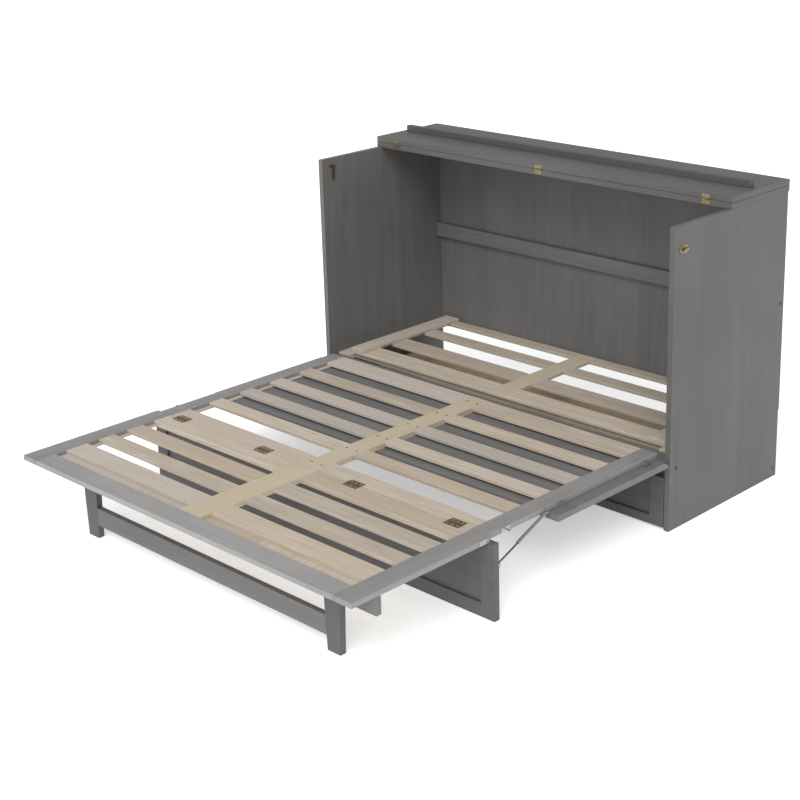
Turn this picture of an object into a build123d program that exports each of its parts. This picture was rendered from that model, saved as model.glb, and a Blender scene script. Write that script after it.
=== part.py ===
"""Cabinet bed with a queen-size slatted platform that folds up into a low cupboard.

Millimetres. +Z is up, X runs across the bed, and the bed opens towards -Y.
The dimensions below count Y from the front edge of the cabinet's side panels.
finish() moves each piece back by CENTRE_Y, so that the written parts have their
origin on the floor under the middle of the open bed's length.
"""
import os
from math import atan2, cos, degrees, hypot, sin

from build123d import *

os.makedirs("parts", exist_ok=True)

# ---------------------------------------------------------------- cabinet
WIDTH = 1650.0
HALF = WIDTH / 2
SIDE_T = 20.0
INNER = HALF - SIDE_T
SIDE_DEPTH = 640.0
SIDE_H = 1034.0
BACK_T = 5.0
BACK_LOW = 247.0
TOP_T = 20.0
TOP_OVERHANG = 5.0
LID_AXIS_Y = 311.0
LID_FRONT_Y = -28.0
RAIL_T = 20.0

# ---------------------------------------------------------------- platform
PLATFORM_Z = 272.0
FRAME_T = 19.0
SLAT_T = 12.0
MID_UNDER = PLATFORM_Z - FRAME_T
SLAT_UNDER = PLATFORM_Z - SLAT_T

# head section, fixed in the cabinet
HEAD_HALF = 755.0
HEAD_Y = (68.0, 610.0)
HEAD_RAIL_W = 70.0
HEAD_RAIL_T = 12.0
HEAD_SLATS = ((68.0, 160.0), (226.0, 309.0), (409.0, 470.0), (561.0, 610.0))
PLANK_HALF = 40.0

# middle section, hinged to the cabinet
MID_Y = (-838.0, -7.0)
MID_HALF = 780.0
MID_RAIL_W = 64.0
MID_INNER = MID_HALF - MID_RAIL_W
LEDGER_W = 15.0
MID_SLATS = ((-98.0, -9.0), (-240.0, -180.0), (-387.0, -324.0), (-530.0, -470.0), (-673.0, -611.0))
MID_FRONT_SLAT = (-838.0, -760.0)

# door board under the middle section, the cabinet's door when it is folded up
DOOR_Y = (-565.0, -7.0)
DOOR_T = 22.0
DOOR_UNDER = MID_UNDER - DOOR_T
DOOR_BORDER = 90.0
DOOR_PANEL_T = 12.0
DOOR_BEVEL = (20.5, 12.5)

# foot section, hinged to the middle section
FOOT_Y = (-1395.0, -840.0)
FOOT_HALF = 796.0
FOOT_T = 18.0
FOOT_UNDER = PLATFORM_Z - FOOT_T
FOOT_INNER = 720.0
FOOT_BOARD_Y = -1319.0
FOOT_PLANK_HALF = 50.0
FOOT_THIN_SLATS = ((-1030.0, -964.0), (-1146.0, -1082.0))
FOOT_HINGE_SLAT = (-915.0, -840.0)
FOOT_LEG_SLAT = (-1277.0, -1192.0)
CROSS_Y = (-1304.0, -1284.0)
CROSS_LOW = 196.0

# leg frame under the foot section
LEG_Y = (-1282.0, -1260.0)
LEG_TOP = 252.0
LEG_X = 590.0
LEG_HALF = 37.0
LEG_TOE_HALF = 27.0
STRETCHER_Z = (47.0, 111.0)

# flap leg under the joint between middle and foot
FLAP_HALF = 812.0
FLAP_Y = (-842.0, -820.0)
FLAP_Z = (0.0, 251.0)
FLAP_OPENING_X = 757.0
FLAP_OPENING_Z = (45.0, 205.0)

# ---------------------------------------------------------------- drawer
DRAWER_HALF = 802.0
DRAWER_FRONT_Z = (8.0, 186.0)
DRAWER_OPENING_X = 745.0
DRAWER_OPENING_Z = (40.0, 160.0)
DRAWER_SIDE_X = (780.0, 795.0)
DRAWER_SIDE_Z = (25.0, 158.0)
DRAWER_REAR = 540.0
DRAWER_BOARD_T = 15.0
DRAWER_BOTTOM_Z = (30.0, 36.0)
RUNNER_Z = (80.0, 104.0)

# ---------------------------------------------------------------- pivots, as (y, z)
BED_AXIS = (-33.0, 221.0)
JOINT_AXIS = (-839.0, 274.5)
LID_AXIS = (LID_AXIS_Y, SIDE_H + TOP_T + 0.5)
FLAP_AXIS = (-820.0, 252.0)
LEG_AXIS = (-1260.0, 253.0)
LATCH_AXIS = (52.0, 957.0)
STRIKE = (-756.0, 264.0)
STRUT_TOP = (-575.0, 259.5)
STRUT_FOOT = (-803.0, 168.0)
STRUT_X = 790.0

PIN_GAP = 0.05
LEAF_T = 1.5
CENTRE_Y = -(FOOT_Y[0] + SIDE_DEPTH + BACK_T + TOP_OVERHANG) / 2


def block(x, y, z, mode=Mode.ADD):
    """A box from its low and high x, y and z."""
    sizes = [high - low for low, high in (x, y, z)]
    middle = tuple((high + low) / 2 for low, high in (x, y, z))
    with Locations(middle):
        Box(*sizes, mode=mode)


def both_sides(x, y, z, mode=Mode.ADD):
    """The same box on the right and, mirrored, on the left."""
    block(x, y, z, mode)
    block((-x[1], -x[0]), y, z, mode)


def round_bar(x, centre, radius, mode=Mode.ADD):
    """A cylinder along X about the point (y, z)."""
    with BuildSketch(Plane.YZ.offset(x[0])) as disc:
        with Locations(centre):
            Circle(radius)
    extrude(disc.sketch, amount=x[1] - x[0], mode=mode)


def profile(x, points, mode=Mode.ADD):
    """A (y, z) outline carried along X."""
    with BuildSketch(Plane.YZ.offset(x[0])) as outline:
        with BuildLine():
            Polyline(*points, close=True)
        make_face()
    extrude(outline.sketch, amount=x[1] - x[0], mode=mode)


def screw_holes(centres, plane, radius=2.0, depth=LEAF_T):
    """Countersunk screw holes through a hinge leaf, from the plane's side."""
    with Locations(*[plane * Location((a, b, 0)) for a, b in centres]):
        CounterSinkHole(radius, radius * 1.8, depth=depth)


def knuckle_spans(x, length, share=0.3, gap=0.3):
    """Outer knuckles of the fixed leaf and the middle knuckle of the moving leaf."""
    low, high = x - length / 2, x + length / 2
    end = length * share
    return ((low, low + end), (high - end, high)), (low + end + gap, high - end - gap)


def finish(part, name):
    """Move a piece to the written origin, label it and write it."""
    part = part.moved(Location((0, CENTRE_Y, 0)))
    part.label = name
    export_step(part, f"parts/{name}.step")


# ================================================================ cabinet
for side, name in ((-1, "left_side_panel"), (1, "right_side_panel")):
    with BuildPart() as side_panel:
        block(sorted((side * INNER, side * HALF)), (0, SIDE_DEPTH), (0, SIDE_H))
        round_bar(sorted((side * INNER, side * HALF)), LATCH_AXIS, 4.0 + PIN_GAP, Mode.SUBTRACT)
    finish(side_panel.part, name)

with BuildPart() as back_panel:
    block((-HALF, HALF), (SIDE_DEPTH, SIDE_DEPTH + BACK_T), (BACK_LOW, SIDE_H))
finish(back_panel.part, "back_panel")

LID_HINGE_X = (-720.0, 0.0, 720.0)
LID_HINGE_L = 32.0
LID_KNUCKLE_R = 3.0
LID_LEAF_W = 16.0
KNUCKLE_CLEAR = 0.4
KNUCKLE_GAIN = 3.5

with BuildPart() as rear_top:
    top_rear = SIDE_DEPTH + BACK_T + TOP_OVERHANG
    block((-HALF, HALF), (LID_AXIS_Y, top_rear), (SIDE_H, SIDE_H + TOP_T))
    for x in LID_HINGE_X:
        span = (x - LID_HINGE_L / 2 - 1, x + LID_HINGE_L / 2 + 1)
        top_z = SIDE_H + TOP_T
        knuckle_y = (LID_AXIS_Y, LID_AXIS_Y + KNUCKLE_GAIN)
        block(span, knuckle_y, (top_z - KNUCKLE_GAIN, top_z), Mode.SUBTRACT)
        block(span, (LID_AXIS_Y, LID_AXIS_Y + LEAF_T), (top_z - LID_LEAF_W, top_z), Mode.SUBTRACT)
finish(rear_top.part, "rear_top")

BACK_RAIL_Z = (616.0, 672.0)
BACK_RAIL_Y = (615.0, SIDE_DEPTH)
with BuildPart() as back_rail:
    block((-INNER, INNER), BACK_RAIL_Y, BACK_RAIL_Z)
finish(back_rail.part, "back_rail")

BOTTOM_RAIL_Y = (612.0, 632.0)
BOTTOM_RAIL_Z = (8.0, 60.0)
with BuildPart() as rear_bottom_rail:
    block((-INNER, INNER), BOTTOM_RAIL_Y, BOTTOM_RAIL_Z)
finish(rear_bottom_rail.part, "rear_bottom_rail")

FRONT_RAIL_Y = (26.0, 46.0)
FRONT_RAIL_Z = (170.0, MID_UNDER)
with BuildPart() as front_rail:
    block((-INNER, INNER), FRONT_RAIL_Y, FRONT_RAIL_Z)
finish(front_rail.part, "front_rail")

CLEAT_X = (745.0, INNER)
CLEAT_LOW = SLAT_UNDER - 20
with BuildPart() as head_cleats:
    both_sides(CLEAT_X, (FRONT_RAIL_Y[1], HEAD_Y[1]), (CLEAT_LOW, SLAT_UNDER))
    between = (-CLEAT_X[0], CLEAT_X[0])
    block(between, (HEAD_Y[0] + 12, HEAD_Y[0] + 32), (CLEAT_LOW, SLAT_UNDER))
    block(between, (HEAD_Y[1] - 20, HEAD_Y[1]), (SLAT_UNDER - 12, SLAT_UNDER))
finish(head_cleats.part, "head_cleats")

with BuildPart() as head_center_plank:
    block((-PLANK_HALF, PLANK_HALF), HEAD_Y, (SLAT_UNDER, PLATFORM_Z))
finish(head_center_plank.part, "head_center_plank")

with BuildPart() as head_slats:
    for slat in HEAD_SLATS:
        both_sides((PLANK_HALF, HEAD_HALF), slat, (SLAT_UNDER, PLATFORM_Z))
finish(head_slats.part, "head_slats")

with BuildPart() as head_side_rails:
    both_sides((HEAD_HALF - HEAD_RAIL_W, HEAD_HALF), HEAD_Y, (PLATFORM_Z, PLATFORM_Z + HEAD_RAIL_T))
finish(head_side_rails.part, "head_side_rails")

BOLTS = ((36.0, 217.0), (622.0, 33.0), (627.0, 640.0))
with BuildPart() as side_bolts:
    for centre in BOLTS:
        round_bar((HALF, HALF + 2), centre, 6.0)
        round_bar((-HALF - 2, -HALF), centre, 6.0)
finish(side_bolts.part, "side_bolts")

# lid hinges: the fixed leaf is let into the rear top's front edge and carries the pin
LID_CLEAR = LID_KNUCKLE_R + KNUCKLE_CLEAR
with BuildPart() as lid_hinges_fixed:
    for x in LID_HINGE_X:
        outer, inner = knuckle_spans(x, LID_HINGE_L)
        width = (x - LID_HINGE_L / 2, x + LID_HINGE_L / 2)
        leaf_y = (LID_AXIS_Y, LID_AXIS_Y + LEAF_T)
        top_z = SIDE_H + TOP_T
        block(width, leaf_y, (top_z - LID_LEAF_W, LID_AXIS[1] - LID_CLEAR))
        for span in outer:
            block(span, leaf_y, (LID_AXIS[1] - LID_CLEAR, top_z))
            round_bar(span, LID_AXIS, LID_KNUCKLE_R)
        round_bar(width, LID_AXIS, 1.2)
finish(lid_hinges_fixed.part, "lid_hinges_fixed")

# bed hinges: cranked brackets reach over the drawer and hold the axis ahead of the panels
BED_HINGE_X = (-600.0, 0.0, 600.0)
BED_HINGE_L = 80.0
BED_KNUCKLE_R = 5.0
BED_PIN_R = 3.0
ARM_Z = (189.0, 193.0)
with BuildPart() as bed_hinge_brackets:
    for x in BED_HINGE_X:
        outer, inner = knuckle_spans(x, BED_HINGE_L)
        width = (x - BED_HINGE_L / 2, x + BED_HINGE_L / 2)
        block(width, (FRONT_RAIL_Y[0] - 3, FRONT_RAIL_Y[0]), (FRONT_RAIL_Z[0] + 2, ARM_Z[1]))
        block(width, (BED_AXIS[0] - 3, FRONT_RAIL_Y[0] - 3), ARM_Z)
        for span in outer:
            block(span, (BED_AXIS[0] - 3, BED_AXIS[0] + 3), (ARM_Z[1], BED_AXIS[1]))
            round_bar(span, BED_AXIS, BED_KNUCKLE_R)
        round_bar(width, BED_AXIS, BED_PIN_R)
finish(bed_hinge_brackets.part, "bed_hinge_brackets")

with BuildPart() as drawer_runners_fixed:
    both_sides((INNER - 4.5, INNER), (22, DRAWER_REAR + 40), RUNNER_Z)
finish(drawer_runners_fixed.part, "drawer_runners_fixed")

# latch plates: oval escutcheons on the outer faces
LATCH_PLATE_T = 2.0
with BuildPart() as latch_plates:
    for x in (HALF, -HALF - LATCH_PLATE_T):
        with BuildSketch(Plane.YZ.offset(x)):
            with Locations((LATCH_AXIS[0] - 4, LATCH_AXIS[1])):
                SlotOverall(46, 28)
            with Locations(LATCH_AXIS):
                Circle(4.0 + PIN_GAP, mode=Mode.SUBTRACT)
            with Locations((LATCH_AXIS[0] - 18, LATCH_AXIS[1])):
                Circle(3.5, mode=Mode.SUBTRACT)
        extrude(amount=LATCH_PLATE_T)
finish(latch_plates.part, "latch_plates")

# latch turns: outside thumb bar, shaft through the panel, hook inside
CAM_X = (799.0, 803.0)
ARM_L = 53.0
ARM_HALF = 6.0
FINGER = (47.0, 53.0)
FINGER_L = 13.0
for side, name in ((-1, "latch_turn_left"), (1, "latch_turn_right")):
    with BuildPart() as latch_turn:
        y, z = LATCH_AXIS
        face = HALF + LATCH_PLATE_T + 0.3
        cam = sorted((side * CAM_X[0], side * CAM_X[1]))
        round_bar(sorted((side * CAM_X[0], side * face)), LATCH_AXIS, 4.0)
        block(sorted((side * face, side * (face + 2))), (y - 9, y + 9), (z - 9, z + 9))
        block(sorted((side * (face + 2), side * (face + 8))), (y - 13, y + 13), (z - 3, z + 3))
        block(cam, (y - ARM_HALF, y + ARM_HALF), (z - ARM_HALF, z + ARM_L))
        block(cam, (y - ARM_HALF - FINGER_L, y - ARM_HALF), (z + FINGER[0], z + FINGER[1]))
    finish(latch_turn.part, name)

# ================================================================ drawer
with BuildPart() as drawer_front_frame:
    block((-DRAWER_HALF, DRAWER_HALF), (0, RAIL_T), DRAWER_FRONT_Z)
    block((-DRAWER_OPENING_X, DRAWER_OPENING_X), (0, RAIL_T), DRAWER_OPENING_Z, Mode.SUBTRACT)
finish(drawer_front_frame.part, "drawer_front_frame")

with BuildPart() as drawer_front_panel:
    block((-DRAWER_OPENING_X, DRAWER_OPENING_X), (8, RAIL_T), DRAWER_OPENING_Z)
finish(drawer_front_panel.part, "drawer_front_panel")

with BuildPart() as drawer_sides:
    both_sides(DRAWER_SIDE_X, (RAIL_T, DRAWER_REAR), DRAWER_SIDE_Z)
finish(drawer_sides.part, "drawer_sides")

with BuildPart() as drawer_back:
    inside = DRAWER_SIDE_X[0]
    back_y = (DRAWER_REAR - DRAWER_BOARD_T, DRAWER_REAR)
    block((-inside, inside), back_y, (DRAWER_BOTTOM_Z[0], DRAWER_SIDE_Z[1]))
finish(drawer_back.part, "drawer_back")

with BuildPart() as drawer_bottom:
    block((-inside, inside), (RAIL_T, DRAWER_REAR - DRAWER_BOARD_T), DRAWER_BOTTOM_Z)
finish(drawer_bottom.part, "drawer_bottom")

with BuildPart() as drawer_runners:
    both_sides((DRAWER_SIDE_X[1], INNER - 5), (24, DRAWER_REAR), RUNNER_Z)
finish(drawer_runners.part, "drawer_runners")

# ================================================================ lid
# Shown turned back through a half turn onto the rear top.
LID_Z = (LID_AXIS[1] + 0.5, LID_AXIS[1] + 0.5 + TOP_T)
LID_Y = (LID_AXIS_Y + 0.5, 2 * LID_AXIS_Y - LID_FRONT_Y)
with BuildPart() as front_lid:
    block((-HALF, HALF), LID_Y, LID_Z)
    for x in LID_HINGE_X:
        span = (x - LID_HINGE_L / 2 - 1, x + LID_HINGE_L / 2 + 1)
        block(span, (LID_Y[0], LID_AXIS_Y + KNUCKLE_GAIN), (LID_Z[0], LID_Z[0] + 3), Mode.SUBTRACT)
        block(span, (LID_Y[0], LID_Y[0] + LEAF_T), (LID_Z[0], LID_Z[0] + LID_LEAF_W), Mode.SUBTRACT)
finish(front_lid.part, "front_lid")

BATTEN_Y = (452.0, 474.0)
BATTEN_H = 25.0
with BuildPart() as lid_batten:
    block((-800, 800), BATTEN_Y, (LID_Z[1], LID_Z[1] + BATTEN_H))
finish(lid_batten.part, "lid_batten")

with BuildPart() as lid_hinge_leaves:
    for x in LID_HINGE_X:
        outer, inner = knuckle_spans(x, LID_HINGE_L)
        width = (x - LID_HINGE_L / 2, x + LID_HINGE_L / 2)
        leaf_y = (LID_Y[0], LID_Y[0] + LEAF_T)
        block(width, leaf_y, (LID_AXIS[1] + LID_CLEAR, LID_Z[0] + LID_LEAF_W))
        block(inner, leaf_y, (LID_Z[0], LID_AXIS[1] + LID_CLEAR))
        round_bar(inner, LID_AXIS, LID_KNUCKLE_R)
        round_bar(inner, LID_AXIS, 1.2 + PIN_GAP, Mode.SUBTRACT)
finish(lid_hinge_leaves.part, "lid_hinge_leaves")

# ================================================================ middle section
with BuildPart() as mid_side_rails:
    both_sides((MID_INNER, MID_HALF), MID_Y, (MID_UNDER, PLATFORM_Z))
finish(mid_side_rails.part, "mid_side_rails")

with BuildPart() as mid_ledgers:
    both_sides((MID_INNER - LEDGER_W, MID_INNER), (MID_FRONT_SLAT[1], MID_Y[1]), (MID_UNDER, SLAT_UNDER))
finish(mid_ledgers.part, "mid_ledgers")

JOINT_HINGE_X = (-656.0, -218.0, 218.0, 656.0)
FLAP_HINGE_X = (-560.0, 0.0, 560.0)
FLAP_HINGE_L = 60.0
FLAP_KNUCKLE_R = 3.0


def underside_gain(axis_y, under, xs, length):
    """Recess for a knuckle and its leaf in the underside above a hinge line."""
    for x in xs:
        span = (x - length / 2 - 1, x + length / 2 + 1)
        block(span, (axis_y - 4, axis_y + 4), (under, under + 3.5), Mode.SUBTRACT)
        block(span, (axis_y + 4, axis_y + 30), (under, under + LEAF_T), Mode.SUBTRACT)


with BuildPart() as mid_center_plank:
    block((-PLANK_HALF, PLANK_HALF), MID_Y, (MID_UNDER, PLATFORM_Z))
    underside_gain(FLAP_AXIS[0], MID_UNDER, (0.0,), FLAP_HINGE_L)
finish(mid_center_plank.part, "mid_center_plank")

with BuildPart() as mid_slats:
    for slat in MID_SLATS:
        both_sides((PLANK_HALF, MID_INNER), slat, (SLAT_UNDER, PLATFORM_Z))
finish(mid_slats.part, "mid_slats")

with BuildPart() as mid_front_slats:
    both_sides((PLANK_HALF, MID_INNER), MID_FRONT_SLAT, (MID_UNDER, PLATFORM_Z))
    underside_gain(FLAP_AXIS[0], MID_UNDER, (-560.0, 560.0), FLAP_HINGE_L)
finish(mid_front_slats.part, "mid_front_slats")

DOOR_OPENING_Y = (DOOR_Y[0] + DOOR_BORDER, DOOR_Y[1] - DOOR_BORDER)
DOOR_OPENING_X = HALF - DOOR_BORDER
with BuildPart() as door_frame:
    rear, (bevel_y, bevel_z) = DOOR_Y[1], DOOR_BEVEL
    profile(
        (-HALF, HALF),
        (
            (DOOR_Y[0], DOOR_UNDER),
            (rear, DOOR_UNDER),
            (rear, MID_UNDER - bevel_z),
            (rear - bevel_y, MID_UNDER),
            (DOOR_Y[0], MID_UNDER),
        ),
    )
    block((-DOOR_OPENING_X, DOOR_OPENING_X), DOOR_OPENING_Y, (DOOR_UNDER, MID_UNDER), Mode.SUBTRACT)
finish(door_frame.part, "door_frame")

with BuildPart() as door_panel:
    block((-DOOR_OPENING_X, DOOR_OPENING_X), DOOR_OPENING_Y, (MID_UNDER - DOOR_PANEL_T, MID_UNDER))
finish(door_panel.part, "door_panel")

BED_LEAF_Z = (DOOR_UNDER - 3, DOOR_UNDER)
with BuildPart() as bed_hinge_leaves:
    for x in BED_HINGE_X:
        outer, inner = knuckle_spans(x, BED_HINGE_L)
        block((x - BED_HINGE_L / 2, x + BED_HINGE_L / 2), (BED_AXIS[0] - 60, BED_AXIS[0] - 6), BED_LEAF_Z)
        block(inner, (BED_AXIS[0] - 6, BED_AXIS[0] + 3), BED_LEAF_Z)
        block(inner, (BED_AXIS[0] - 3, BED_AXIS[0] + 3), (BED_AXIS[1], BED_LEAF_Z[0]))
        round_bar(inner, BED_AXIS, BED_KNUCKLE_R)
        round_bar(inner, BED_AXIS, BED_PIN_R + PIN_GAP, Mode.SUBTRACT)
finish(bed_hinge_leaves.part, "bed_hinge_leaves")

JOINT_HINGE_L = 60.0
JOINT_KNUCKLE_R = 2.5
JOINT_LEAF_W = 22.0


def joint_screws(x, y):
    """Three countersunk screw holes down through a leaf of the foot hinge."""
    top = Plane.XY.offset(PLATFORM_Z + LEAF_T)
    screw_holes([(x - 20, y), (x, y), (x + 20, y)], top)


with BuildPart() as foot_hinges_mid:
    for x in JOINT_HINGE_X:
        outer, inner = knuckle_spans(x, JOINT_HINGE_L)
        width = (x - JOINT_HINGE_L / 2, x + JOINT_HINGE_L / 2)
        leaf_z = (PLATFORM_Z, PLATFORM_Z + LEAF_T)
        block(width, (JOINT_AXIS[0] + 3, JOINT_AXIS[0] + JOINT_LEAF_W), leaf_z)
        for span in outer:
            block(span, (JOINT_AXIS[0] + 1, JOINT_AXIS[0] + 3), leaf_z)
            round_bar(span, JOINT_AXIS, JOINT_KNUCKLE_R)
        round_bar(width, JOINT_AXIS, 1.2)
        joint_screws(x, JOINT_AXIS[0] + 13)
finish(foot_hinges_mid.part, "foot_hinges_mid")


def flap_hinge_fixed(axis, under, x):
    """Leaf let into the underside above a folding leg, with outer knuckles and pin."""
    outer, _ = knuckle_spans(x, FLAP_HINGE_L)
    width = (x - FLAP_HINGE_L / 2, x + FLAP_HINGE_L / 2)
    leaf_z = (under, under + LEAF_T)
    block(width, (axis[0] + 4, axis[0] + 30), leaf_z)
    for span in outer:
        block(span, (axis[0], axis[0] + 4), leaf_z)
        round_bar(span, axis, FLAP_KNUCKLE_R)
    round_bar(width, axis, 1.5)


def flap_hinge_moving(axis, x):
    """Leaf let into the rear face of a folding leg, with the middle knuckle."""
    _, inner = knuckle_spans(x, FLAP_HINGE_L)
    width = (x - FLAP_HINGE_L / 2, x + FLAP_HINGE_L / 2)
    leaf_y = (axis[0] - LEAF_T, axis[0])
    block(width, leaf_y, (axis[1] - 30, axis[1] - 4))
    block(inner, leaf_y, (axis[1] - 4, axis[1]))
    round_bar(inner, axis, FLAP_KNUCKLE_R)
    round_bar(inner, axis, 1.5 + PIN_GAP, Mode.SUBTRACT)


def leg_top_gain(axis, xs):
    """Recess for a knuckle and its leaf in the rear face of a folding leg."""
    for x in xs:
        span = (x - FLAP_HINGE_L / 2 - 1, x + FLAP_HINGE_L / 2 + 1)
        block(span, (axis[0] - 4, axis[0]), (axis[1] - 4, axis[1]), Mode.SUBTRACT)
        block(span, (axis[0] - LEAF_T, axis[0]), (axis[1] - 30, axis[1] - 4), Mode.SUBTRACT)


with BuildPart() as flap_hinges_mid:
    for x in FLAP_HINGE_X:
        flap_hinge_fixed(FLAP_AXIS, MID_UNDER, x)
finish(flap_hinges_mid.part, "flap_hinges_mid")

STUD_R = 3.0
EYE_X = (STRUT_X - 3.5, STRUT_X + 3.5)
with BuildPart() as strut_upper_studs:
    for side in (-1, 1):
        round_bar(sorted((side * MID_HALF, side * (MID_HALF + 2.5))), STRUT_TOP, 6.0)
        round_bar(sorted((side * MID_HALF, side * (EYE_X[1] + 0.5))), STRUT_TOP, STUD_R)
        round_bar(sorted((side * (EYE_X[1] + 0.5), side * (EYE_X[1] + 2))), STRUT_TOP, 5.0)
finish(strut_upper_studs.part, "strut_upper_studs")

with BuildPart() as strike_plates:
    for side in (-1, 1):
        plate = sorted((side * MID_HALF, side * (MID_HALF + 2)))
        block(plate, (STRIKE[0] - 20, STRIKE[0] + 20), (STRIKE[1] - 8, STRIKE[1] + 6))
        round_bar(plate, (STRIKE[0] - 14, STRIKE[1] - 1), 2.2, Mode.SUBTRACT)
        round_bar(plate, (STRIKE[0] + 14, STRIKE[1] - 1), 2.2, Mode.SUBTRACT)
        round_bar(sorted((side * MID_HALF, side * CAM_X[1])), STRIKE, STUD_R)
finish(strike_plates.part, "strike_plates")

RAIL_BRACKET_Y = (-78.0, -500.0)
with BuildPart() as rail_brackets:
    for y in RAIL_BRACKET_Y:
        both_sides((MID_HALF, MID_HALF + 2), (y - 17, y + 17), (MID_UNDER, PLATFORM_Z - 2))
        both_sides((MID_HALF + 2, MID_HALF + 18), (y - 17, y + 17), (MID_UNDER, MID_UNDER + 2))
        for side in (-1, 1):
            plate = sorted((side * MID_HALF, side * (MID_HALF + 2)))
            round_bar(plate, (y, MID_UNDER + 11), 2.5, Mode.SUBTRACT)
finish(rail_brackets.part, "rail_brackets")

# ================================================================ foot section
with BuildPart() as foot_side_rails:
    both_sides((FOOT_INNER, FOOT_HALF), FOOT_Y, (FOOT_UNDER, PLATFORM_Z))
finish(foot_side_rails.part, "foot_side_rails")

with BuildPart() as foot_end_board:
    block((-FOOT_INNER, FOOT_INNER), (FOOT_Y[0], FOOT_BOARD_Y), (FOOT_UNDER, PLATFORM_Z))
finish(foot_end_board.part, "foot_end_board")

with BuildPart() as foot_center_plank:
    plank = (-FOOT_PLANK_HALF, FOOT_PLANK_HALF)
    block(plank, (FOOT_BOARD_Y + 1.5, FOOT_Y[1]), (FOOT_UNDER, PLATFORM_Z))
finish(foot_center_plank.part, "foot_center_plank")

LEG_HINGE_X = (-LEG_X, LEG_X)
with BuildPart() as foot_slats:
    for slat in FOOT_THIN_SLATS:
        both_sides((FOOT_PLANK_HALF, FOOT_INNER), slat, (SLAT_UNDER, PLATFORM_Z))
    both_sides((FOOT_PLANK_HALF, FOOT_INNER - LEDGER_W), FOOT_HINGE_SLAT, (FOOT_UNDER, PLATFORM_Z))
    both_sides((FOOT_PLANK_HALF, FOOT_INNER - LEDGER_W), FOOT_LEG_SLAT, (FOOT_UNDER, PLATFORM_Z))
    for slat in (FOOT_HINGE_SLAT, FOOT_LEG_SLAT):
        both_sides((FOOT_INNER - LEDGER_W, FOOT_INNER), slat, (SLAT_UNDER, PLATFORM_Z))
    underside_gain(LEG_AXIS[0], FOOT_UNDER, LEG_HINGE_X, FLAP_HINGE_L)
finish(foot_slats.part, "foot_slats")

with BuildPart() as foot_ledgers:
    both_sides((FOOT_INNER - LEDGER_W, FOOT_INNER), (FOOT_BOARD_Y, FOOT_Y[1]), (FOOT_UNDER, SLAT_UNDER))
    front = (FOOT_BOARD_Y, FOOT_LEG_SLAT[0])
    both_sides((FOOT_PLANK_HALF, FOOT_INNER - LEDGER_W), front, (FOOT_UNDER, SLAT_UNDER))
finish(foot_ledgers.part, "foot_ledgers")

with BuildPart() as foot_cross_rail:
    block((-FOOT_HALF, FOOT_HALF), CROSS_Y, (CROSS_LOW, FOOT_UNDER))
finish(foot_cross_rail.part, "foot_cross_rail")

with BuildPart() as foot_hinge_leaves:
    for x in JOINT_HINGE_X:
        outer, inner = knuckle_spans(x, JOINT_HINGE_L)
        leaf_z = (PLATFORM_Z, PLATFORM_Z + LEAF_T)
        width = (x - JOINT_HINGE_L / 2, x + JOINT_HINGE_L / 2)
        block(width, (JOINT_AXIS[0] - JOINT_LEAF_W, JOINT_AXIS[0] - 3), leaf_z)
        block(inner, (JOINT_AXIS[0] - 3, JOINT_AXIS[0] - 1), leaf_z)
        round_bar(inner, JOINT_AXIS, JOINT_KNUCKLE_R)
        round_bar(inner, JOINT_AXIS, 1.2 + PIN_GAP, Mode.SUBTRACT)
        joint_screws(x, JOINT_AXIS[0] - 13)
finish(foot_hinge_leaves.part, "foot_hinge_leaves")

with BuildPart() as leg_hinges_foot:
    for x in LEG_HINGE_X:
        flap_hinge_fixed(LEG_AXIS, FOOT_UNDER, x)
finish(leg_hinges_foot.part, "leg_hinges_foot")

PLATE_Y = (-885.0, -850.0)
with BuildPart() as foot_side_plates:
    both_sides((FOOT_HALF, FOOT_HALF + 1.5), PLATE_Y, (FOOT_UNDER + 2, PLATFORM_Z - 2))
    for side in (-1, 1):
        plate = sorted((side * FOOT_HALF, side * (FOOT_HALF + 1.5)))
        for y in (PLATE_Y[0] + 8, PLATE_Y[1] - 8):
            round_bar(plate, (y, PLATFORM_Z - 9), 2.5, Mode.SUBTRACT)
finish(foot_side_plates.part, "foot_side_plates")

# ================================================================ leg frame
with BuildPart() as legs:
    for side in (-1, 1):
        with BuildSketch(Plane.XZ.offset(-LEG_Y[0])) as outline:
            with BuildLine():
                Polyline(
                    (side * (LEG_X - LEG_TOE_HALF), 0),
                    (side * (LEG_X + LEG_TOE_HALF), 0),
                    (side * (LEG_X + LEG_HALF), LEG_TOP),
                    (side * (LEG_X - LEG_HALF), LEG_TOP),
                    close=True,
                )
            make_face()
        extrude(outline.sketch, amount=LEG_Y[1] - LEG_Y[0], dir=(0, 1, 0))
    leg_top_gain(LEG_AXIS, LEG_HINGE_X)
finish(legs.part, "legs")


def leg_inner_x(z):
    """Distance from the middle to the inner edge of a tapered leg at a height."""
    return LEG_X - LEG_TOE_HALF - (LEG_HALF - LEG_TOE_HALF) * z / LEG_TOP


with BuildPart() as leg_stretcher:
    with BuildSketch(Plane.XZ.offset(-LEG_Y[0])) as outline:
        with BuildLine():
            Polyline(
                (-leg_inner_x(STRETCHER_Z[0]), STRETCHER_Z[0]),
                (leg_inner_x(STRETCHER_Z[0]), STRETCHER_Z[0]),
                (leg_inner_x(STRETCHER_Z[1]), STRETCHER_Z[1]),
                (-leg_inner_x(STRETCHER_Z[1]), STRETCHER_Z[1]),
                close=True,
            )
        make_face()
    extrude(outline.sketch, amount=RAIL_T, dir=(0, 1, 0))
finish(leg_stretcher.part, "leg_stretcher")

with BuildPart() as leg_hinge_leaves:
    for x in LEG_HINGE_X:
        flap_hinge_moving(LEG_AXIS, x)
finish(leg_hinge_leaves.part, "leg_hinge_leaves")

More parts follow.
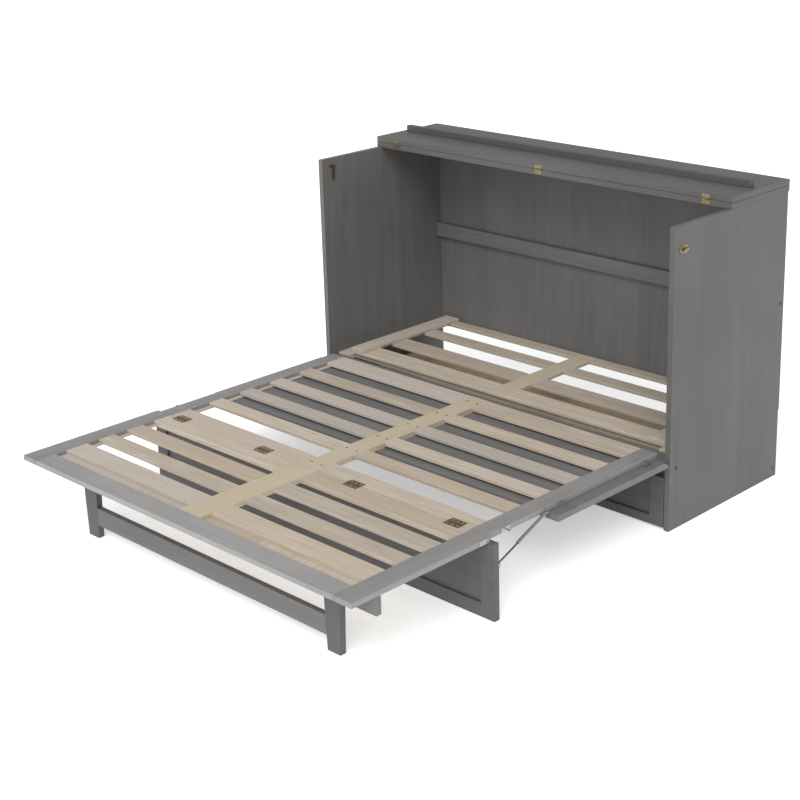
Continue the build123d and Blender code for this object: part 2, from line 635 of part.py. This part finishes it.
# ================================================================ flap leg
with BuildPart() as flap_frame:
    block((-FLAP_HALF, FLAP_HALF), FLAP_Y, FLAP_Z)
    block((-FLAP_OPENING_X, FLAP_OPENING_X), FLAP_Y, FLAP_OPENING_Z, Mode.SUBTRACT)
    leg_top_gain(FLAP_AXIS, FLAP_HINGE_X)
finish(flap_frame.part, "flap_frame")

with BuildPart() as flap_panel:
    panel_y = (FLAP_Y[0] + 8, FLAP_Y[1] - 4)
    block((-FLAP_OPENING_X, FLAP_OPENING_X), panel_y, FLAP_OPENING_Z)
finish(flap_panel.part, "flap_panel")

with BuildPart() as flap_hinge_leaves:
    for x in FLAP_HINGE_X:
        flap_hinge_moving(FLAP_AXIS, x)
finish(flap_hinge_leaves.part, "flap_hinge_leaves")

LUG_X = (798.0, 801.0)
LUG_R = 6.0
LUG_PLATE_HALF = 12.0
with BuildPart() as strut_lower_brackets:
    for side in (-1, 1):
        y, z = STRUT_FOOT
        plate_z = (z - LUG_PLATE_HALF, z + LUG_PLATE_HALF)
        block(sorted((side * 782, side * 802)), (FLAP_Y[1], FLAP_Y[1] + 3), plate_z)
        lug = sorted((side * LUG_X[0], side * LUG_X[1]))
        block(lug, (FLAP_Y[1] + 3, y), (z - LUG_R, z + LUG_R))
        round_bar(lug, STRUT_FOOT, LUG_R)
        round_bar(sorted((side * (EYE_X[1] + 1), side * LUG_X[1])), STRUT_FOOT, STUD_R)
finish(strut_lower_brackets.part, "strut_lower_brackets")

# ================================================================ gas struts
strut_run = (STRUT_FOOT[0] - STRUT_TOP[0], STRUT_FOOT[1] - STRUT_TOP[1])
STRUT_L = hypot(*strut_run)
STRUT_ANGLE = atan2(strut_run[1], strut_run[0])
BARREL = (9.0, 148.0)
BARREL_R = 6.0
ROD_R = 3.0
ROD_START = 100.0
BORE_START = 13.0
EYE_R = 6.0


def along_strut(x, distance):
    """Plane at a distance down the strut, its normal along the strut."""
    origin = (
        x,
        STRUT_TOP[0] + distance * cos(STRUT_ANGLE),
        STRUT_TOP[1] + distance * sin(STRUT_ANGLE),
    )
    return Plane(origin=origin, x_dir=(1, 0, 0), z_dir=(0, cos(STRUT_ANGLE), sin(STRUT_ANGLE)))


def strut_bar(x, span, radius, mode=Mode.ADD):
    """A round bar lying along the strut between two distances."""
    with BuildSketch(along_strut(x, span[0])) as disc:
        Circle(radius)
    extrude(disc.sketch, amount=span[1] - span[0], mode=mode)


for side, name in ((-1, "left"), (1, "right")):
    eye = sorted((side * EYE_X[0], side * EYE_X[1]))
    with BuildPart() as strut_barrel:
        round_bar(eye, STRUT_TOP, EYE_R)
        strut_bar(side * STRUT_X, (4, BARREL[0] + 2), 3.0)
        strut_bar(side * STRUT_X, BARREL, BARREL_R)
        round_bar(eye, STRUT_TOP, STUD_R + PIN_GAP, Mode.SUBTRACT)
        strut_bar(side * STRUT_X, (BORE_START, BARREL[1]), ROD_R + PIN_GAP, Mode.SUBTRACT)
    finish(strut_barrel.part, f"{name}_strut_barrel")
    with BuildPart() as strut_rod:
        strut_bar(side * STRUT_X, (ROD_START, STRUT_L - 2), ROD_R)
        round_bar(eye, STRUT_FOOT, EYE_R)
    finish(strut_rod.part, f"{name}_strut_rod")

print("strut length", round(STRUT_L, 3), "angle", round(degrees(STRUT_ANGLE), 3))
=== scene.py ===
"""Looks for the cabinet bed: procedural wood and metal on the CAD parts, a studio and a camera.

Metres, in the part's own frame: +Z up, X across the bed, the bed opens towards -Y,
origin on the floor under the middle of the open bed's length.
"""

import math

import bmesh
import bpy
from mathutils import Matrix, Vector


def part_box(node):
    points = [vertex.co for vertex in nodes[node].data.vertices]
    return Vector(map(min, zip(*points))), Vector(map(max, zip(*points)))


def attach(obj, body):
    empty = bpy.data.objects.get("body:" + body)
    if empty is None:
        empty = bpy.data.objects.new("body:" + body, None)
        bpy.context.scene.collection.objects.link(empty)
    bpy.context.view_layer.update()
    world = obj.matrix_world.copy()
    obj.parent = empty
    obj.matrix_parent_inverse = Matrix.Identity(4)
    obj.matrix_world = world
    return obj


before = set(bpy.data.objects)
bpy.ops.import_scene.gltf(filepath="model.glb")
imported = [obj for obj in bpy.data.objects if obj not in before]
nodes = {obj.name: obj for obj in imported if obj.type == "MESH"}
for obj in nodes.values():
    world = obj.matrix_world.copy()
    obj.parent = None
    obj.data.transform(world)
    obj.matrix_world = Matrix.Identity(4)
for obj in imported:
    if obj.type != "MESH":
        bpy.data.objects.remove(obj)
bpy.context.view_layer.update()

# ------------------------------------------------------------------ materials
def srgb(r, g, b):
    """A colour given as 0-255 screen values, in the linear values that a shader takes."""
    def linear(v):
        v /= 255
        return v / 12.92 if v <= 0.04045 else ((v + 0.055) / 1.055) ** 2.4
    return (linear(r), linear(g), linear(b), 1.0)


class Nodes:
    """A short way to add and link shader nodes in one material."""

    def __init__(self, name):
        self.material = bpy.data.materials.new(name)
        self.material.use_nodes = True
        self.tree = self.material.node_tree
        self.shader = self.tree.nodes["Principled BSDF"]

    def add(self, kind, settings=None, **inputs):
        node = self.tree.nodes.new(kind)
        for key, value in (settings or {}).items():
            setattr(node, key, value)
        for key, value in inputs.items():
            self.feed(node.inputs[key.replace("_", " ")], value)
        return node

    def feed(self, socket, value):
        """Links an output to a socket, or sets the socket's own value."""
        if isinstance(value, bpy.types.NodeSocket):
            self.tree.links.new(value, socket)
        else:
            socket.default_value = value

    def math(self, operation, a, b=0.0, clamp=False):
        node = self.add("ShaderNodeMath", {"operation": operation, "use_clamp": clamp})
        self.feed(node.inputs[0], a)
        self.feed(node.inputs[1], b)
        return node.outputs[0]

    def vector(self, operation, a, b):
        node = self.add("ShaderNodeVectorMath", {"operation": operation})
        self.feed(node.inputs[0], a)
        self.feed(node.inputs[1], b)
        return node.outputs[0]

    def mix(self, factor, a, b, blend="MIX"):
        node = self.add("ShaderNodeMix", {"data_type": "RGBA", "blend_type": blend})
        self.feed(node.inputs["Factor"], factor)
        self.feed(node.inputs[6], a)
        self.feed(node.inputs[7], b)
        return node.outputs[2]

    def shaded(self, colour, factor):
        """The colour, lighter or darker by a factor."""
        grey = self.add("ShaderNodeCombineColor", Red=factor, Green=factor, Blue=factor)
        return self.mix(1.0, colour, grey.outputs[0], "MULTIPLY")

    def spread(self, value, low, high, to_low=0.0, to_high=1.0):
        """Smoothly maps the value from one range onto another."""
        node = self.add("ShaderNodeMapRange", {"interpolation_type": "SMOOTHSTEP"}, Value=value)
        limits = {"From Min": low, "From Max": high, "To Min": to_low, "To Max": to_high}
        for key, number in limits.items():
            node.inputs[key].default_value = number
        return node.outputs["Result"]

    def noise(self, place, scale, detail=4.0, rough=0.55, distortion=0.0):
        return self.add("ShaderNodeTexNoise", Vector=place, Scale=scale, Detail=detail,
                        Roughness=rough, Distortion=distortion).outputs["Fac"]

    def bump(self, height, strength, distance, normal=None):
        node = self.add("ShaderNodeBump", Strength=strength, Distance=distance, Height=height)
        if normal is not None:
            self.feed(node.inputs["Normal"], normal)
        return node.outputs["Normal"]


GRAIN_STRETCH = {"x": (0.045, 1.0, 1.0), "y": (1.0, 0.045, 1.0), "z": (1.0, 1.0, 0.045)}
BOARD_SEED_STEP = 7.31
BOARD_SHIFT = 3.0


def board_space(n, grain, boards):
    """Coordinates along the grain, shifted at random from board to board.

    boards is None for one board, or (axis, first, pitch, seed): boards lie next to each other
    along that axis, and the ones left and right of the middle differ.
    Returns the coordinates, the node with the board's random values (or None), and the place
    before stretching.
    """
    place = n.add("ShaderNodeTexCoord").outputs["Object"]
    if boards is None:
        return n.vector("MULTIPLY", place, GRAIN_STRETCH[grain]), None, place
    axis, first, pitch, seed = boards
    parts = n.add("ShaderNodeSeparateXYZ", Vector=place)
    along = n.math("SUBTRACT", parts.outputs[axis.upper()], first)
    row = n.math("FLOOR", n.math("DIVIDE", along, pitch))
    side = n.math("GREATER_THAN", parts.outputs["X"], 0.0)
    row = n.math("ADD", n.math("MULTIPLY", row, 2.0), side)
    label = n.math("ADD", n.math("MULTIPLY", row, BOARD_SEED_STEP), seed)
    random = n.add("ShaderNodeTexWhiteNoise", {"noise_dimensions": "1D"}, W=label)
    shift = n.vector("MULTIPLY", random.outputs["Color"], (BOARD_SHIFT,) * 3)
    moved = n.vector("ADD", place, shift)
    return n.vector("MULTIPLY", moved, GRAIN_STRETCH[grain]), random, place


def grey_wood(name, grain, painted_light):
    """Grey stain on a close-grained wood: fine streaks along the grain, paler where rubbed.
    painted_light scales the whole grey, a painted light or shade for the part it goes on.
    """
    n = Nodes(name)
    space, _, place = board_space(n, grain, None)
    fine = n.noise(space, 420.0, detail=3.0, rough=0.6)
    streak = n.noise(space, 70.0, detail=6.0, rough=0.62, distortion=0.4)
    band = n.noise(space, 14.0, detail=3.0, rough=0.5, distortion=0.6)
    cloud = n.noise(place, 2.6, detail=3.0, rough=0.5)
    # painted_light scales all three greys: painted light or shade for this part
    dark, light, pale = (
        tuple(channel * painted_light for channel in srgb(*grey)[:3]) + (1.0,)
        for grey in ((99, 98, 98), (109, 108, 107), (119, 118, 117))
    )
    base = n.mix(n.spread(streak, 0.3, 0.72), dark, light)
    base = n.mix(n.spread(band, 0.35, 0.8, 0.0, 0.35), base, pale)
    base = n.mix(n.spread(fine, 0.42, 0.75, 0.0, 0.2), base, dark)
    base = n.shaded(base, n.spread(cloud, 0.25, 0.75, 0.92, 1.07))
    n.feed(n.shader.inputs["Base Color"], base)
    n.feed(n.shader.inputs["Roughness"], n.spread(streak, 0.2, 0.8, 0.46, 0.62))
    n.shader.inputs["Specular IOR Level"].default_value = 0.38
    relief = n.bump(streak, 0.2, 0.001)
    n.feed(n.shader.inputs["Normal"], n.bump(fine, 0.14, 0.0004, relief))
    return n.material


def pale_wood(name, grain, boards=None, warm=0.0):
    """Unfinished pale wood: cream to light brown boards with growth rings and small marks.

    Separate boards differ in tone; a single board is as yellow as warm says, from 0 to 1.
    """
    n = Nodes(name)
    space, random, place = board_space(n, grain, boards)
    fine = n.noise(space, 520.0, detail=3.0, rough=0.65)
    fibre = n.noise(space, 110.0, detail=6.0, rough=0.62, distortion=0.3)
    rings = n.noise(space, 9.0, detail=2.0, rough=0.5, distortion=1.2)
    ring_lines = n.math("PINGPONG", n.math("MULTIPLY", rings, 9.0), 0.5)
    ring_lines = n.spread(ring_lines, 0.0, 0.45)
    cloud = n.noise(place, 5.0, detail=3.0, rough=0.55)
    cream, tan = srgb(207, 197, 183), srgb(181, 166, 148)
    brown, ash = srgb(146, 127, 108), srgb(190, 182, 177)
    base = n.mix(n.spread(fibre, 0.3, 0.75), tan, cream)
    base = n.mix(n.spread(ring_lines, 0.1, 0.9, 0.0, 0.28), base, tan)
    base = n.mix(n.spread(cloud, 0.45, 0.8, 0.0, 0.45), base, ash)
    base = n.mix(n.spread(fine, 0.55, 0.8, 0.0, 0.35), base, brown)
    if random is not None:
        tone = n.add("ShaderNodeSeparateColor", Color=random.outputs["Color"])
        base = n.mix(n.spread(tone.outputs["Red"], 0.35, 1.0, 0.0, 0.45), base, srgb(194, 173, 149))
        base = n.mix(n.spread(tone.outputs["Green"], 0.45, 1.0, 0.0, 0.6), base, ash)
        base = n.shaded(base, n.spread(tone.outputs["Blue"], 0.0, 1.0, 0.88, 1.05))
    else:
        base = n.mix(warm, base, srgb(196, 182, 156))
    n.feed(n.shader.inputs["Base Color"], base)
    n.feed(n.shader.inputs["Roughness"], n.spread(fibre, 0.2, 0.8, 0.62, 0.78))
    n.shader.inputs["Specular IOR Level"].default_value = 0.3
    relief = n.bump(fibre, 0.3, 0.0012)
    n.feed(n.shader.inputs["Normal"], n.bump(fine, 0.25, 0.0004, relief))
    return n.material


def metal(name, colour, worn, roughness, brushed="x"):
    """Bare or plated metal with faint brushing, small stains and uneven polish."""
    n = Nodes(name)
    place = n.add("ShaderNodeTexCoord").outputs["Object"]
    lines = n.noise(n.vector("MULTIPLY", place, GRAIN_STRETCH[brushed]), 900.0, detail=2.0)
    stain = n.noise(place, 120.0, detail=4.0, rough=0.6)
    n.feed(n.shader.inputs["Base Color"], n.mix(n.spread(stain, 0.45, 0.8, 0.0, 0.8), colour, worn))
    n.shader.inputs["Metallic"].default_value = 1.0
    uneven = n.spread(stain, 0.3, 0.75, roughness * 0.8, roughness * 1.35)
    n.feed(n.shader.inputs["Roughness"], uneven)
    n.feed(n.shader.inputs["Normal"], n.bump(lines, 0.12, 0.0003))
    return n.material


# grain direction, painted light factor and nodes of each grey finish; the factor makes lit and
# shaded copies of one grey stain, a painted light or shade on each part
GREYS = {
    "grey_left": ("z", 1.08, ("left_side_panel",)),
    "grey_right": ("z", 0.79, ("right_side_panel",)),
    "grey_inside": ("z", 1.05, ("back_panel",)),
    "grey_top": ("x", 0.78, ("rear_top", "front_lid")),
    "grey_batten": ("x", 0.66, ("lid_batten",)),
    "grey_across": (
        "x", 1.1, ("back_rail", "rear_bottom_rail", "front_rail", "foot_cross_rail"),
    ),
    # painted shade: the flap and the drawer front stand in the bed's shadow and get darker copies
    "grey_flap": ("x", 0.72, ("flap_frame", "flap_panel")),
    "grey_shaded": ("x", 0.64, ("drawer_front_frame", "drawer_front_panel")),
    "grey_door": ("x", 1.14, ("door_frame", "door_panel")),
    "grey_platform": ("y", 1.88, ("mid_side_rails", "foot_side_rails")),
    "grey_end": ("x", 2.25, ("foot_end_board",)),
    "grey_leg": ("z", 0.72, ("legs",)),
    "grey_stretcher": ("x", 1.04, ("leg_stretcher",)),
}
# boards: axis, middle of the first gap, distance from gap to gap, seed
pale_head = pale_wood("pale_head", "x", boards=("y", 0.5665, 0.155, 0.11))
pale_mid = pale_wood("pale_mid", "x", boards=("y", -0.3435, 0.1445, 0.53))
pale_foot = pale_wood("pale_foot", "x", boards=("y", -0.7965, 0.114, 0.29))
pale_rails = pale_wood("pale_rails", "y", boards=("x", -0.9, 0.6, 0.83))
pale_plank = pale_wood("pale_plank", "y", warm=0.65)
box_wood = pale_wood("box_wood", "x", warm=0.9)
brass = metal("brass", srgb(154, 141, 110), srgb(88, 76, 54), 0.4)
zinc = metal("zinc", srgb(186, 186, 184), srgb(128, 127, 124), 0.36)
barrel_steel = metal("barrel_steel", srgb(176, 176, 174), srgb(124, 124, 122), 0.24, "y")
bolt_steel = metal("bolt_steel", srgb(92, 90, 87), srgb(60, 58, 55), 0.4)
rod_steel = metal("rod_steel", srgb(120, 118, 114), srgb(70, 69, 66), 0.25, "y")

FINISHES = {
    pale_head: ("head_slats",),
    pale_mid: ("mid_slats", "mid_front_slats"),
    pale_foot: ("foot_slats",),
    pale_rails: ("head_side_rails", "head_cleats", "mid_ledgers", "foot_ledgers"),
    bolt_steel: ("side_bolts",),
}
# one lighter or darker copy of the grey for each entry, its painted light or shade
for grey, (grain, painted_light, names) in GREYS.items():
    FINISHES[grey_wood(grey, grain, painted_light)] = names
# every other node takes the finish of its slot in the record
BY_SLOT = {
    "pale_wood": pale_plank,
    "box_wood": box_wood,
    "brass": brass,
    "zinc_steel": zinc,
    "strut_steel": barrel_steel,
    "rod_chrome": rod_steel,
}

finish_of = {name: material for material, names in FINISHES.items() for name in names}
record_slot = {name: obj.data.materials[0].name.split(".")[0] for name, obj in nodes.items()}
for name, obj in nodes.items():
    material = finish_of.get(name) or BY_SLOT[record_slot[name]]
    for index in range(len(obj.material_slots)):
        obj.material_slots[index].material = material


# ------------------------------------------------------------------ softened edges
EDGE_ROUND = {"grey_wood": 0.0016, "pale_wood": 0.0013, "box_wood": 0.001}
METAL_EDGE_ROUND = 0.0003
EDGE_SEGMENTS = 2
EDGE_ANGLE = math.radians(40)
WELD_DISTANCE = 0.00001
FLAT_ANGLE = math.radians(0.2)

for name, obj in nodes.items():
    weld = obj.modifiers.new("weld", "WELD")
    weld.merge_threshold = WELD_DISTANCE
    flat = obj.modifiers.new("flat", "DECIMATE")
    flat.decimate_type = "DISSOLVE"
    flat.angle_limit = FLAT_ANGLE
    edge = obj.modifiers.new("edge", "BEVEL")
    edge.width = EDGE_ROUND.get(record_slot[name], METAL_EDGE_ROUND)
    edge.segments = EDGE_SEGMENTS
    edge.limit_method = "ANGLE"
    edge.angle_limit = EDGE_ANGLE
    edge.use_clamp_overlap = True
    obj.modifiers.new("shade", "WEIGHTED_NORMAL").keep_sharp = False


# ------------------------------------------------------------------ screws in the middle plank
# one row to each slat of the middle section
SCREW_ROWS = (0.319, 0.1625, 0.017, -0.1275, -0.2695, -0.4265)
SCREW_INSET = 0.017
SCREW_SIDES = 14
# (radius, height above the plank) from the buried tip, over the rim, into the driver's recess
SCREW_PROFILE = (
    (0.0016, -0.004),
    (0.0041, -0.0003),
    (0.0041, 0.00006),
    (0.0038, 0.00012),
    (0.0017, 0.00014),
    (0.0012, 0.00003),
)


def add_screw(shape, x, y, z):
    """One countersunk screw, as a closed turned shape."""
    turns = [math.tau * k / SCREW_SIDES for k in range(SCREW_SIDES)]
    rings = [
        [
            shape.verts.new((x + radius * math.cos(turn), y + radius * math.sin(turn), z + height))
            for turn in turns
        ]
        for radius, height in SCREW_PROFILE
    ]
    for lower, upper in zip(rings, rings[1:]):
        for k in range(SCREW_SIDES):
            after = (k + 1) % SCREW_SIDES
            shape.faces.new((lower[k], lower[after], upper[after], upper[k]))
    shape.faces.new(reversed(rings[0]))
    shape.faces.new(rings[-1])


def new_object(name, shape, material):
    """An object made of a finished bmesh."""
    mesh = bpy.data.meshes.new(name)
    shape.to_mesh(mesh)
    shape.free()
    mesh.materials.append(material)
    obj = bpy.data.objects.new(name, mesh)
    bpy.context.collection.objects.link(obj)
    return obj


plank_low, plank_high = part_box("mid_center_plank")
screw_shape = bmesh.new()
for y in SCREW_ROWS:
    for x in (plank_low[0] + SCREW_INSET, plank_high[0] - SCREW_INSET):
        add_screw(screw_shape, x, y, plank_high[2])
screws = new_object("plank_screws", screw_shape, bolt_steel)
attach(screws, "middle")


# ------------------------------------------------------------------ studio
FLOOR_SIZE = 30.0
FLOOR_GLOW = 0.42
SKY_LIGHT = 0.55
SKY_SEEN = 1.0


def floor_plane():
    """A white matt floor that glows a little, which keeps the shadows pale."""
    shape = bmesh.new()
    bmesh.ops.create_grid(shape, x_segments=1, y_segments=1, size=FLOOR_SIZE)
    n = Nodes("floor_paint")
    n.shader.inputs["Base Color"].default_value = (0.95, 0.95, 0.95, 1.0)
    n.shader.inputs["Roughness"].default_value = 0.9
    n.shader.inputs["Specular IOR Level"].default_value = 0.1
    n.shader.inputs["Emission Color"].default_value = (1.0, 1.0, 1.0, 1.0)
    n.shader.inputs["Emission Strength"].default_value = FLOOR_GLOW
    new_object("floor", shape, n.material)


def soft_sun(name, towards, spread, strength):
    """A distant soft light: it lights the whole floor evenly, as a large studio ceiling does."""
    lamp = bpy.data.lights.new(name, "SUN")
    lamp.angle = math.radians(spread)
    lamp.energy = strength
    obj = bpy.data.objects.new(name, lamp)
    obj.rotation_mode = "QUATERNION"
    obj.rotation_quaternion = (-Vector(towards)).to_track_quat("-Z", "Y")
    bpy.context.collection.objects.link(obj)


def white_sky():
    """A sky that is seen as white, and lights the scene less strongly than that."""
    world = bpy.data.worlds.new("studio")
    world.use_nodes = True
    tree = world.node_tree
    background = tree.nodes["Background"]
    background.inputs["Color"].default_value = (1.0, 1.0, 1.0, 1.0)
    strength = tree.nodes.new("ShaderNodeMapRange")
    strength.inputs["To Min"].default_value = SKY_LIGHT
    strength.inputs["To Max"].default_value = SKY_SEEN
    seen = tree.nodes.new("ShaderNodeLightPath").outputs["Is Camera Ray"]
    tree.links.new(seen, strength.inputs["Value"])
    tree.links.new(strength.outputs["Result"], background.inputs["Strength"])
    bpy.context.scene.world = world


floor_plane()
soft_sun("key", towards=(0.8, -1.0, 1.35), spread=38, strength=1.55)
soft_sun("fill", towards=(0.1, -1.0, 0.55), spread=60, strength=0.55)
white_sky()
bpy.context.scene.view_settings.view_transform = "Standard"


# ------------------------------------------------------------------ camera
CAMERA_PLACE = (3.7117, -3.6641, 2.3079)
# degrees to the left of +Y, below the horizon, and about the line of sight
CAMERA_TURN = math.radians(44.485)
CAMERA_DOWN = math.radians(17.589)
CAMERA_ROLL = math.radians(-1.367)
# focal length as a share of the frame's width
FOCAL_SHARE = 2.0355
SHIFT = (-0.0375, -0.1)
SENSOR = 36.0

camera = bpy.data.cameras.new("camera")
camera.sensor_width = SENSOR
camera.lens = SENSOR * FOCAL_SHARE
camera.shift_x, camera.shift_y = SHIFT
forward = Vector((
    -math.sin(CAMERA_TURN) * math.cos(CAMERA_DOWN),
    math.cos(CAMERA_TURN) * math.cos(CAMERA_DOWN),
    -math.sin(CAMERA_DOWN),
))
roll = Matrix.Rotation(CAMERA_ROLL, 4, "Z").to_quaternion()
camera_object = bpy.data.objects.new("camera", camera)
camera_object.location = CAMERA_PLACE
camera_object.rotation_mode = "QUATERNION"
camera_object.rotation_quaternion = forward.to_track_quat("-Z", "Y") @ roll
bpy.context.collection.objects.link(camera_object)
bpy.context.scene.camera = camera_object
